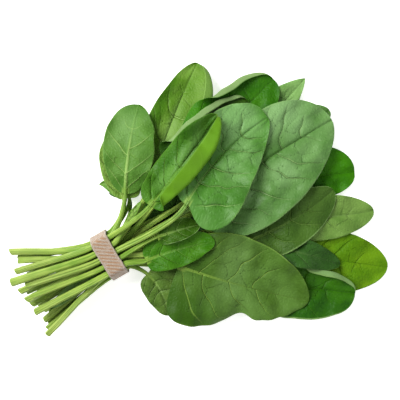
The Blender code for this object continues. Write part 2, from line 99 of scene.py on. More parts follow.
def bend(start, end, start_way, end_way, u, start_pull=1.0, end_pull=1.0):
    """Points at shares u of a smooth curve that leaves start and arrives at end along the given ways."""
    at_start, leaving, at_end, arriving = pulls(u[:, None])
    length = np.linalg.norm(end - start)
    a = start_way / np.linalg.norm(start_way) * length * start_pull
    b = end_way / np.linalg.norm(end_way) * length * end_pull
    return at_start * start + leaving * a + at_end * end + arriving * b


def place_in_band(slot):
    """y, z of a stalk where the band holds it."""
    row, place = slot
    y = ((ROW_SIZES[row] - 1) / 2 - place) * STALK_PITCH[0]
    return y, BAND_THICKNESS + BAND_GAP + (row + 0.5) * STALK_PITCH[1]


def middle_line(leaf, cut_u, grow_u, blade_t):
    """The middle of the stalk and midrib, from the cut end through the band to the tip."""
    slot_y, slot_z = place_in_band(leaf["slot"])
    way = 1.0 if leaf["cut"][0] < 0 else -1.0
    band_in, band_out = np.array([-way * HELD_LENGTH, slot_y]), np.array([way * HELD_LENGTH, slot_y])
    cut, base, tip = (np.array(leaf[name][:2], float) for name in ("cut", "base", "tip"))
    along, blade_way = np.array([way, 0.0]), tip - base
    bow = leaf["bow"]
    flat = np.concatenate([
        bend(cut, band_in, band_in - cut, along, cut_u, 1.0, 0.5),
        bend(band_out, base, along, turned(blade_way, bow), grow_u, 0.5, 0.9),
        bend(base, tip, turned(blade_way, bow), turned(blade_way, -bow), blade_t),
    ])
    base_z, tip_z = leaf["base"][2], leaf["tip"][2]
    heights = np.concatenate([
        slot_z * (1 - CUT_DROP) + slot_z * CUT_DROP * smooth(0, 1, cut_u),
        slot_z + (base_z - slot_z) * smooth(0, 1, grow_u),
        base_z - (base_z - tip_z) * blade_t**2 + leaf["arch"] * np.sin(math.pi * blade_t) ** 2,
    ])
    return np.column_stack([flat, heights])


def ridge(distance, half_width):
    """1 at no distance, and fading to 0 beyond the half width."""
    return np.exp(-((distance / half_width) ** 2))


def outline(leaf, t, side):
    """Share of the half width at share t of the blade: zero at its ends and 1 at its widest place."""
    low, high = side < 0 and leaf["blunt_right"] or leaf["blunt"]
    widest = side < 0 and leaf["widest_right"] or leaf["widest"]
    peak = (low / (low + high)) ** low * (high / (low + high)) ** high
    u = np.clip(t, 0, 1) ** widest
    share = u**low * (1 - u) ** high / peak
    if side < 0:
        place, length, depth = leaf["dent"]
        share = share * (1 - depth * ridge(t - place, length))
    return share


def side_section(leaf, half_width, x, t, side, count):
    """Sideways and upward place, and slope, at shares x of one side of the blade."""
    start, end, turn = leaf["curl_left"] if side > 0 else leaf["curl_right"]
    steps = np.linspace(0, 1, count)
    window = smooth(0, 0.18, t)
    slope = (
        math.radians(leaf["fold"]) * window
        + math.radians(leaf["cup"]) * steps * window
        + math.radians(turn) * smooth(start, end, steps) * smooth(*leaf["curl_run"], t)
    )
    middle = (slope[1:] + slope[:-1]) / 2
    out, up = (
        np.concatenate([[0], np.cumsum(way(middle))]) / (count - 1) * half_width for way in (np.cos, np.sin)
    )
    phase = 0.9 if side > 0 else 2.6
    up = up + leaf["wave"] * np.sin(2 * math.pi * leaf["waves"] * t + phase) * window * steps**3
    return [np.interp(x, steps, values) for values in (out, up, slope)]


def curl_tip(leaf, points, normals):
    """Bends the end of the blade up about a line across it."""
    start, turn = leaf["tip_curl"]
    if not turn:
        return points, normals
    base, tip = leaf["base"], leaf["tip"]
    run = np.subtract(tip, base)[:2]
    length = np.linalg.norm(run)
    forward = np.array([*run / length, 0.0])
    height = base[2] - (base[2] - tip[2]) * start**2 + leaf["arch"] * math.sin(math.pi * start) ** 2
    origin = np.array([*(base[:2] + run * start), height])
    radius = (1 - start) * length / math.radians(turn)
    ahead, up = (points - origin) @ forward, points[:, :, 2] - origin[2]
    angle = np.clip(ahead / radius, 0.0, math.radians(turn))
    past, cos, sin = ahead - angle * radius, np.cos(angle), np.sin(angle)
    new_ahead = (radius - up) * sin + past * cos
    points = points + (new_ahead - ahead)[:, :, None] * forward
    points[:, :, 2] = origin[2] + radius - (radius - up) * cos + past * sin
    n_ahead, n_up = normals @ forward, normals[:, :, 2]
    tilted = normals + (n_ahead * cos - n_up * sin - n_ahead)[:, :, None] * forward
    tilted[:, :, 2] = n_ahead * sin + n_up * cos
    return points, tilted


def middle_surface(leaf, cut_u, grow_u, blade_t, k, count):
    """The leaf without its thickness, as sections x columns k, which go from -1 to 1: points, normals,
    q, the distance from the midrib, x, the share of the half width, and for each section its share of
    the blade and the rib's radius."""
    line = middle_line(leaf, cut_u, grow_u, blade_t)
    share = np.concatenate([np.full(len(cut_u) + len(grow_u), -1.0), blade_t])
    thick = leaf["stalk"] / 2
    radius = np.concatenate([
        thick * (leaf["flare"] + (1 - leaf["flare"]) * cut_u),
        thick * (1 + (STALK_TAPER - 1) * grow_u),
        thick * STALK_TAPER * (1 - blade_t) ** 0.8 * (1 - RIB_END) + RIB_END,
    ])
    way = np.gradient(line[:, :2], axis=0)
    way /= np.linalg.norm(way, axis=1)[:, None]
    length = math.dist(leaf["tip"][:2], leaf["base"][:2])
    shape = (len(share), len(k))
    points, normals = np.zeros((*shape, 3)), np.zeros((*shape, 3))
    q, x = np.zeros(shape), np.zeros(shape)
    up_way = np.array([0.0, 0.0, 1.0])
    for i, t in enumerate(share):
        blade = max(t, 0.0)
        side_way = np.array([-way[i, 1], way[i, 0], 0.0])
        for side in (-1, 1):
            chosen = k * side >= 0
            full = leaf["left"] if side > 0 else leaf["right"]
            grown = outline(leaf, blade, side) if t > 0 else 0.0
            half = radius[i] + max(full - radius[i], 0) * grown
            spread = radius[i] * np.sin(ROUND_ANGLE * np.abs(k[chosen]))
            spread = spread + (half - radius[i]) * np.abs(k[chosen]) ** 1.25
            x[i, chosen], q[i, chosen] = spread / half, spread * side
            out, up, slope = side_section(leaf, half, spread / half, blade, side, count)
            ear = leaf["ear"] * math.sin(math.pi * grown) * (1 - smooth(0.08, 0.3, blade)) * (side < 0)
            back = -(leaf["lobe"] * (1 - blade) ** 3 * grown + ear) * length * (spread / half) ** 1.5
            points[i, chosen] = (
                line[i]
                + np.outer(out * side, side_way)
                + np.outer(up, up_way)
                + np.outer(back, [*way[i], 0.0])
            )
            normals[i, chosen] = np.outer(-np.sin(slope) * side, side_way) + np.outer(np.cos(slope), up_way)
    points, normals = curl_tip(leaf, points, normals)
    return points, normals, q, x, share, radius


def between(values, old, new):
    """Values given at old, read at new along a smooth curve."""
    slopes = np.gradient(values, old, axis=0)
    i = np.clip(np.searchsorted(old, new, side="right") - 1, 0, len(old) - 2)
    gap = (old[i + 1] - old[i]).reshape(-1, *[1] * (values.ndim - 1))
    at_start, leaving, at_end, arriving = pulls((new - old[i]).reshape(gap.shape) / gap)
    return (
        at_start * values[i] + leaving * gap * slopes[i]
        + at_end * values[i + 1] + arriving * gap * slopes[i + 1]
    )


def ring_shares(rings):
    """Shares of the blade's length for its rings, closest together at its base and its tip."""
    return (1 - np.cos(math.pi * np.linspace(0, 1, rings + 1))) / 2


def way_along(cut_u, grow_u, blade_t):
    """One rising number for each section, from the cut end to the tip."""
    turn = np.arccos(np.clip(1 - 2 * blade_t, -1, 1)) / math.pi
    return np.concatenate([cut_u, 2 + 2 * grow_u, 4.4 + 4 * turn])


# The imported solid: its sections before and past the band, and how it lies round its middle surface
SOLID_STALK = np.array([0.0, 0.33, 0.66, 1.0]), np.array([0.0, 0.22, 0.45, 0.7, 0.9])
SOLID_HALF = 0.35
SOLID_RIB = (0.1, 0.8)
SOLID_STEPS = 49
SAME_PLACE = 0.01


def lifts_of_solid(name, leaf):
    """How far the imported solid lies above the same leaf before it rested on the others, as sections x
    columns, and where those are. Read at the solid's corners, which are known by their place in plan."""
    sections = *SOLID_STALK, ring_shares(leaf["rings"])
    k = np.arange(-leaf["columns"], leaf["columns"] + 1) / leaf["columns"]
    points, normals, q, _, share, radius = middle_surface(leaf, *sections, k, SOLID_STEPS)
    blend = smooth(0, 0.14, np.maximum(share, 0))[:, None]
    stalk_part = radius[:, None] * np.cos(ROUND_ANGLE * np.abs(k))
    rib = radius[:, None] * ridge(q, 1.1 * radius[:, None])
    faces = [(1 - blend) * stalk_part + blend * (SOLID_HALF + part * rib) for part in SOLID_RIB]
    above, below = reversed(faces) if leaf["turned_over"] else faces
    corners = np.array([v.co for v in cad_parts[name].data.vertices]) / MM + BUNCH_MIDDLE
    corners = np.unique(corners.round(4), axis=0)
    tops = (points + normals * above[:, :, None]).reshape(-1, 3)
    bottoms = (points - normals * below[:, :, None]).reshape(-1, 3)
    lift = np.full(len(tops), np.nan)
    wide = len(k)
    for i, ends in enumerate(zip(tops, bottoms)):
        up, down = (
            corners[np.hypot(*(corners[:, :2] - end[:2]).T) < SAME_PLACE][:, 2] - end[2] for end in ends
        )
        if len(up) and len(down):
            apart = np.abs(up[:, None] - down[None, :])
            near = np.nan_to_num(lift[i - wide]) if i >= wide else 0.0
            rank = apart + 1e-3 * np.abs(up[:, None] - near)
            lift[i] = up[np.unravel_index(rank.argmin(), rank.shape)[0]]
    lift = lift.reshape(-1, wide)
    for row in lift:
        known = ~np.isnan(row)
        if known.any():
            row[:] = np.interp(k, k[known], row[known])
    known = ~np.isnan(lift[:, 0])
    along = way_along(*sections)
    for column in lift.T:
        column[:] = np.interp(along, along[known], column[known])
    return lift, along, k


WAVE_COUNT = 7


def gentle_waves(dice, x, y, longest, shortest):
    """A smooth unevenness about 1 high: waves that run in chance directions."""
    total = 0.0
    for _ in range(WAVE_COUNT):
        length = dice.uniform(shortest, longest)
        way, start = dice.uniform(0, math.tau), dice.uniform(0, math.tau)
        total = total + np.sin((x * math.cos(way) + y * math.sin(way)) * math.tau / length + start)
    return total / math.sqrt(WAVE_COUNT)


def veins_and_cells(leaf, q, x, t, length, dice):
    """The count of side veins passed on the way to each point, whole numbers on the veins, and the
    distance in millimetres from the small veins that close the cells between them."""
    pairs = max(3, round(length / PAIR_SPACING))
    phase = np.zeros(q.shape)
    cell = np.full(q.shape, 9.0)
    spacing = length / (pairs + 1)
    half = max(leaf["left"], leaf["right"])
    for side in (-1, 1):
        chosen = q * side >= 0
        starts = ((np.arange(pairs + 2) + dice.uniform(0.0, 0.32, pairs + 2)) / (pairs + 1.4)) ** 1.08
        bent = t[chosen] - (0.13 * x[chosen] + 0.2 * x[chosen] ** 1.8) * (1 - 0.35 * t[chosen])
        bent = bent + WANDER * gentle_waves(dice, q[chosen], t[chosen] * length, *WANDER_LENGTHS)
        steps = np.concatenate([[starts[0] - 0.5], starts, [starts[-1] + 0.4]])
        phase[chosen] = np.interp(np.minimum(bent, 0.87 + 0.06 * bent), steps, np.arange(-3, pairs + 1))
        seeds = np.array([(
            (n + 0.5 + dice.uniform(-0.34, 0.34)) * CELL_SIZE,
            (field + 0.5 + (0.2 if n % 2 else -0.2) + dice.uniform(-0.16, 0.16)) * spacing,
        ) for field in range(-3, pairs + 1) for n in range(int(half / CELL_SIZE) + 2)])
        here = np.column_stack([np.abs(q[chosen]), phase[chosen] * spacing])
        far = np.hypot(here[:, None, 0] - seeds[None, :, 0], here[:, None, 1] - seeds[None, :, 1])
        nearest = np.partition(far, 1, axis=1)
        cell[chosen] = (nearest[:, 1] - nearest[:, 0]) / 2
    return phase, cell, spacing


LYING_STEP = 0.5
LYING_CORNER = np.array([-78.0, -125.0])
lying = np.zeros((560, 480))  # how high the leaves placed so far reach on each small square


def square_of(points):
    at = ((points[..., :2] - LYING_CORNER) / LYING_STEP).astype(int)
    return np.clip(at[..., 0], 0, lying.shape[0] - 1), np.clip(at[..., 1], 0, lying.shape[1] - 1)


def note_lying(top):
    """Adds a leaf's upper surface to the heights of what lies there."""
    wide = top.shape[1]
    columns = np.linspace(0, wide - 1, 3 * wide - 2)
    left = np.minimum(columns.astype(int), wide - 2)
    part = (columns - left)[:, None]
    dense = top[:, left] * (1 - part) + top[:, left + 1] * part
    for a, b in zip(dense[:-1], dense[1:]):
        for u in np.linspace(0, 1, 1 + math.ceil(np.abs(b - a).max() / (0.8 * LYING_STEP))):
            spots = a * (1 - u) + b * u
            np.maximum.at(lying, square_of(spots), spots[:, 2])


def spread_out(values, reach):
    """The largest of the values near each place, then evened out: nowhere below the values."""
    for taken in (np.max, np.mean):
        for _ in ("along", "across"):
            padded = np.pad(values, [(reach, reach), (0, 0)], mode="edge")
            near = [np.roll(padded, -step, axis=0) for step in range(2 * reach + 1)]
            values = taken(near, axis=0)[: -2 * reach].T
    return values


def sheet_normals(points, plain):
    """Normals of the finished surface; the plain ones serve where it narrows to nothing."""
    across = np.gradient(points, axis=1)
    along = np.gradient(points, axis=0)
    normals = np.cross(along, across)
    size = np.linalg.norm(normals, axis=2, keepdims=True)
    normals = np.where(size > 1e-5, normals / np.maximum(size, 1e-9), plain)
    wide = np.linalg.norm(points[:, -1] - points[:, 0], axis=1)
    use = smooth(3.0, 7.0, wide)[:, None, None]
    normals = use * normals + (1 - use) * plain
    return normals / np.linalg.norm(normals, axis=2, keepdims=True)


scene = bpy.context.scene
FLIPPED = [0, 3, 2, 1]  # a face's corners as they come when it is seen from behind


def grid_faces(at):
    """Faces of a sheet, from the numbers of its corners as rows x columns."""
    return np.stack([at[:-1, :-1], at[1:, :-1], at[1:, 1:], at[:-1, 1:]], -1).reshape(-1, 4)


def wall_faces(upper, lower):
    """Faces that close a body between an edge of its upper sheet and the same edge of its lower one."""
    return np.stack([upper[:-1], upper[1:], lower[1:], lower[:-1]], -1)


def thin_body(name, sheets, faces, fields):
    """A piece from its upper and lower sheets, with values at its corners that its finish reads."""
    mesh = bpy.data.meshes.new(name)
    places = (np.concatenate([sheet.reshape(-1, 3) for sheet in sheets]) - BUNCH_MIDDLE) * MM
    mesh.from_pydata(places.tolist(), [], np.concatenate(faces).tolist())
    for field, values in fields.items():
        upper, lower = values if isinstance(values, tuple) else (values, values)
        values = np.concatenate([upper.ravel(), lower.ravel()]).astype(np.float32)
        mesh.attributes.new(field, "FLOAT", "POINT").data.foreach_set("value", values)
    piece = bpy.data.objects.new(name, mesh)
    scene.collection.objects.link(piece)
    return piece


def leaf_body(name, top, bottom, fields):
    """A leaf's closed body. Its last faces are the cut end, which is flat and has a finish of its own."""
    rows, wide = top.shape[:2]
    at = np.arange(rows * wide).reshape(rows, wide)
    low = at + rows * wide
    piece = thin_body(name, (top, bottom), [
        grid_faces(at), grid_faces(low)[:, FLIPPED],
        wall_faces(at[:, 0], low[:, 0])[:, FLIPPED], wall_faces(at[:, -1], low[:, -1]),
        wall_faces(at[-1], low[-1])[:, FLIPPED], wall_faces(at[0], low[0]),
    ], fields)
    faces = piece.data.polygons
    is_cut = np.arange(len(faces)) >= len(faces) - (wide - 1)
    faces.foreach_set("material_index", is_cut.astype(int))
    faces.foreach_set("use_smooth", ~is_cut)
    piece.data.update()
    return piece


def patches(spots, q, run):
    """Soft marks, each given as its place across and along, its half sizes and its strength."""
    mark = np.zeros(q.shape)
    for across, along, wide, long, strength in spots:
        far = ((q - across) / wide) ** 4 + ((run - along) / long) ** 4
        mark = np.maximum(mark, strength * np.exp(-far))
    return mark


def risen(distance, reach):
    """Goes from 0 towards 1 with the distance, most of the way within the reach."""
    return 1 - np.exp(-distance / reach)


def run_of(line):
    """How far along the line each of its points lies."""
    return np.concatenate([[0], np.cumsum(np.linalg.norm(np.diff(line, axis=0), axis=1))])


COLUMN_WIDTH = 0.95
RINGS_PER_MM = 1.35
FINE_STEPS = 161
GROOVE_DEPTH = 0.3  # this and the next as shares of the stalk's radius
RIDGE_HEIGHT = 0.07
RIDGE_COUNT = 9
TABLE_GAP = 0.02
LEAF_GAP = 0.06
MOST_LIFT = 6.0
LIFT_REACH = 6  # steps of the mesh over which a lift spreads
LOOSE_RUN = 14.0  # past the band, the length in which a stalk gets free to be lifted


def grow(name, slot, cut, base, tip, left, right, finish, material_slot, seed, seen=(), **changes):
    """Builds one leaf over its solid, lets it rest on those before it, and dresses it. Its slot is its row
    and its place in the band, base and tip are the blade's ends, and left and right its half widths.
    The changes are to LEAF_FORM, and seen is what differs on the real leaf from its solid."""
    leaf = dict(LEAF_FORM, slot=slot, cut=cut, base=base, tip=tip, left=left, right=right, **changes)
    lift, coarse_along, coarse_k = lifts_of_solid(name, leaf)
    leaf.update(seen)
    dice = np.random.default_rng(seed)
    length = math.dist(tip[:2], base[:2])
    half = max(leaf["left"], leaf["right"])
    columns = int(np.clip(round(half / COLUMN_WIDTH), 7, 36))
    rings = int(np.clip(round(length * RINGS_PER_MM), 24, 170))
    k = np.arange(-columns, columns + 1) / columns
    sections = np.linspace(0, 1, 8), np.linspace(0, 0.96, 20), ring_shares(rings)
    points, normals, q, x, share, radius = middle_surface(leaf, *sections, k, FINE_STEPS)
    along = way_along(*sections)
    points[:, :, 2] += between(between(lift, coarse_along, along).T, coarse_k, k).T

    # Sunken veins with raised fields between them, and a pucker in each cell of the finer net
    blade, thick = np.maximum(share, 0)[:, None], radius[:, None]
    t = blade + 0 * q
    grown = smooth(0.0, 0.12, t)
    phase, cell, spacing = veins_and_cells(leaf, q, x, t, length, dice)
    near_vein = np.abs(phase - np.round(phase)) * spacing
    tipward = 1 - smooth(*leaf["veins_fade"], t)
    veined = grown * tipward * (1 - x**4)
    inner = (1 - x**3) * grown * tipward
    flat = smooth(0.1, 0.8, normals[:, :, 2])
    stout = leaf["quilt"] * (0.2 + 0.8 * flat)
    relief = (
        -VEIN_SINK * stout * ridge(near_vein, VEIN_HALF) * (1 - x**2) * veined
        - VEIN_SINK * stout * ridge(q, 1.0) * grown
        + PILLOW * stout * risen(near_vein, PILLOW_REACH) * risen(np.abs(q), RIB_REACH) * inner
        + PUCKER * stout * risen(cell, PUCKER_REACH) * risen(np.abs(q), 2.0) * (0.3 * grown + 0.7 * veined)
    )
    if leaf["turned_over"]:
        relief = -relief

    # Slow waves of the blade, and a ruffle that runs along one margin and back along the other
    ground = ROLL * leaf["roll"] * gentle_waves(dice, q, t * length, *ROLL_LENGTHS)
    ground = ground * grown * smooth(0.05, 0.5, x) * (0.3 + 0.7 * flat)
    edge_line = np.where(q > 0, t * length, -t * length - 200)
    ruffle = RUFFLE * gentle_waves(dice, edge_line, 0 * q, *RUFFLE_LENGTHS) * x**4 * grown
    curled = (normals[:, :, 2] < 0.5) & (share[:, None] > 0)
    narrow = smooth(0.0, 6.0, np.abs(q[:, -1] - q[:, 0]))[:, None]
    points = points + normals * ((relief + ground + ruffle) * narrow)[:, :, None]
    normals = sheet_normals(points, normals)

    # The rib stands out mostly below. On the stalk it is the whole round, with a groove on top
    ring = np.abs(q) / thick
    flatter, sunk = smooth(0, 0.08, blade), smooth(0, 0.16, blade)
    rib = thick * ((1 - flatter) * np.sqrt(np.maximum(1 - ring**2, 0.0)) + flatter * ridge(ring, 0.95))
    sheet = (BLADE_HALF + (EDGE_HALF - BLADE_HALF) * x**4) * smooth(-1, 0, share)[:, None]
    groove = GROOVE_DEPTH * thick * ridge(ring, 0.42) * (0.5 + 0.5 * smooth(2.2, 4.2, along))[:, None]
    ridges = RIDGE_HEIGHT * thick * np.cos(RIDGE_COUNT * np.arcsin(np.minimum(ring, 1)) + seed)
    ridges = ridges * (1 - ring**4).clip(0, 1) * (1 - smooth(0, 0.05, blade)) * (half > 8)
    proud = sheet + rib * (1 - 0.9 * sunk) - groove * (1 - sunk) + ridges
    hidden = sheet + rib * (1 - 0.35 * smooth(0, 0.4, blade)) + ridges
    above, below = (hidden, proud) if leaf["turned_over"] else (proud, hidden)

    # Lifted until it clears what lies there already, though not where the band holds its stalk
    bottom = points - normals * below[:, :, None]
    needed = np.maximum(lying[square_of(bottom)], TABLE_GAP) + LEAF_GAP - bottom[:, :, 2]
    stalk = share <= 0
    needed[stalk] = np.max(np.where(np.abs(k) < 0.45, needed[stalk], -9), axis=1, keepdims=True)
    free = smooth(HELD_LENGTH, HELD_LENGTH + LOOSE_RUN, np.abs(points[:, columns, 0]))[:, None]
    free = np.where(stalk[:, None], free, 1.0)
    extra = spread_out(np.clip(needed, 0, MOST_LIFT), LIFT_REACH) * free
    for side in (q < 0, q > 0):
        highest = np.max(np.where(side, extra, 0.0), axis=1, keepdims=True)
        extra = np.where(curled & side, np.maximum(extra, highest), extra)
    points[:, :, 2] += extra
    top, bottom = points + normals * above[:, :, None], points - normals * below[:, :, None]
    note_lying(top)

    # The knife's cut, a little askew and a little domed
    outward = points[0, columns] - points[1, columns]
    askew = dice.uniform(-0.5, 0.5) * q[0] + 0.9 * np.sqrt(1 - ring[0].clip(0, 1) ** 2)
    for face in (top, bottom):
        face[0] += np.outer(askew, outward / np.linalg.norm(outward))

    middle_run = run_of(points[:, columns])
    run = (middle_run - middle_run[stalk.sum()])[:, None] + 0 * q
    piece = leaf_body(name.replace("leaf_", "grown_"), top, bottom, {
        "across": q, "along": run, "edge": x * grown, "vein": phase, "cell": cell,
        "rib": thick + 0 * q, "veined": veined, "rise": (above, -below),
        "grown": np.maximum(smooth(0.0, 0.1, blade), smooth(1.3, 2.6, ring) * (blade > 0)),
        "deep": patches(leaf["deep"], q, run), "sheen": patches(leaf["sheen"], q, run),
    })
    piece.data.materials.append(finish(name.replace("leaf_", "skin_"), spacing, seed, -run[0, 0]))
    piece.data.materials.append(cut_face)
    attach(piece, "root")
    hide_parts(name)


def both_ways(operation):
    """An operator and its reflected form, each of which adds one Math node to a tone's finish."""

    def add_node(tone, first, second):
        return tone.finish.node("ShaderNodeMath", {"operation": operation}, {0: first, 1: second})

    return lambda tone, other: add_node(tone, tone, other), lambda tone, other: add_node(tone, other, tone)


class Tone:
    """A value in a finish, which can be reckoned with like a number."""

    def __init__(self, finish, socket):
        self.finish, self.socket = finish, socket

    __add__, __radd__ = both_ways("ADD")
    __sub__, __rsub__ = both_ways("SUBTRACT")
    __mul__, __rmul__ = both_ways("MULTIPLY")
    __truediv__, __rtruediv__ = both_ways("DIVIDE")
    __pow__, __rpow__ = both_ways("POWER")

    def __abs__(self):
        return self.finish.node("ShaderNodeMath", {"operation": "ABSOLUTE"}, {0: self})


class Finish:
    """A material and the nodes that make up its look."""

    def __init__(self, name):
        self.material = bpy.data.materials.new(name)
        self.material.use_nodes = True
        self.tree = self.material.node_tree
        self.shader = self.tree.nodes["Principled BSDF"]

    def node(self, kind, settings=None, sockets=None, out=0):
        """Adds a node: its settings first, then its sockets' values or links. Returns one output."""
        made = self.tree.nodes.new(kind)
        for name, value in (settings or {}).items():
            setattr(made, name, value)
        for name, value in (sockets or {}).items():
            self.put(made.inputs[name], value)
        return Tone(self, made.outputs[out])

    def put(self, socket, value):
        if isinstance(value, Tone):
            self.tree.links.new(value.socket, socket)
        else:
            socket.default_value = (*value, 1.0) if isinstance(value, tuple) else value

    def set(self, **looks):
        for name, value in looks.items():
            self.put(self.shader.inputs[name.replace("_", " ")], value)

    def field(self, name):
        return self.node("ShaderNodeAttribute", {"attribute_name": name}, out="Fac")

    def ease(self, value, low, high, first=0.0, last=1.0):
        """Goes smoothly from first to last as the value goes from low to high."""
        sockets = {"Value": value, "From Min": low, "From Max": high, "To Min": first, "To Max": last}
        return self.node("ShaderNodeMapRange", {"interpolation_type": "SMOOTHSTEP"}, sockets)

    def blend(self, share, first, second):
        return self.node("ShaderNodeMix", {"data_type": "RGBA"}, {0: share, 6: first, 7: second}, out=2)

    def fold(self, value):
        """How far the value is from the nearest whole number."""
        return self.node("ShaderNodeMath", {"operation": "PINGPONG"}, {0: value, 1: 0.5})

    def place(self, x, y, z=0.0):
        return self.node("ShaderNodeCombineXYZ", {}, {"X": x, "Y": y, "Z": z})

    def noise(self, place, size, detail=2.0, rough=0.5):
        sockets = {"Vector": place, "Scale": 1.0 / size, "Detail": detail, "Roughness": rough}
        return self.node("ShaderNodeTexNoise", {}, sockets)

    def bumps(self, height):
        """A relief whose height is in millimetres."""
        sockets = {"Strength": 1.0, "Distance": MM, "Height": height}
        self.put(self.shader.inputs["Normal"], self.node("ShaderNodeBump", {}, sockets))


def juicy_cut():
    """The end that the knife left: pale wet pith with a ring of vein ends, a little browned."""
    end = Finish("cut_stalk")
    across, rise, rib = end.field("across"), end.field("rise"), end.field("rib")
    ring = (across * across + rise * rise) ** 0.5 / rib
    spots = end.node("ShaderNodeTexVoronoi", {}, {"Vector": end.place(across, rise), "Scale": 1.1})
    brown = end.noise(end.place(across, rise, rib), 1.6, 3.0)
    colour = end.blend(end.ease(brown, 0.42, 0.62), (0.42, 0.52, 0.2), (0.4, 0.33, 0.14))
    colour = end.blend(end.ease(spots, 0.12, 0.3, 0.6, 0.0), colour, (0.3, 0.38, 0.1))
    colour = end.blend(end.ease(ring, 0.78, 0.92), colour, (0.2, 0.33, 0.06))
    end.set(Base_Color=colour, Roughness=0.38, Coat_Weight=0.2)
    end.bumps(end.ease(ring, 0.2, 0.95, 0.0, 0.25) + 0.1 * brown)
    return end.material


cut_face = juicy_cut()
STALK_LIGHT, STALK_GREEN, STALK_CUT = (0.265, 0.385, 0.066), (0.14, 0.265, 0.03), (0.28, 0.36, 0.088)
PALE_RIM = (0.16, 0.28, 0.08)
NET_SIZE = 2.3


def mixed(share, first, second):
    """A colour that has this share of the second one in it."""
    return tuple((1 - share) * a + share * b for a, b in zip(first, second))


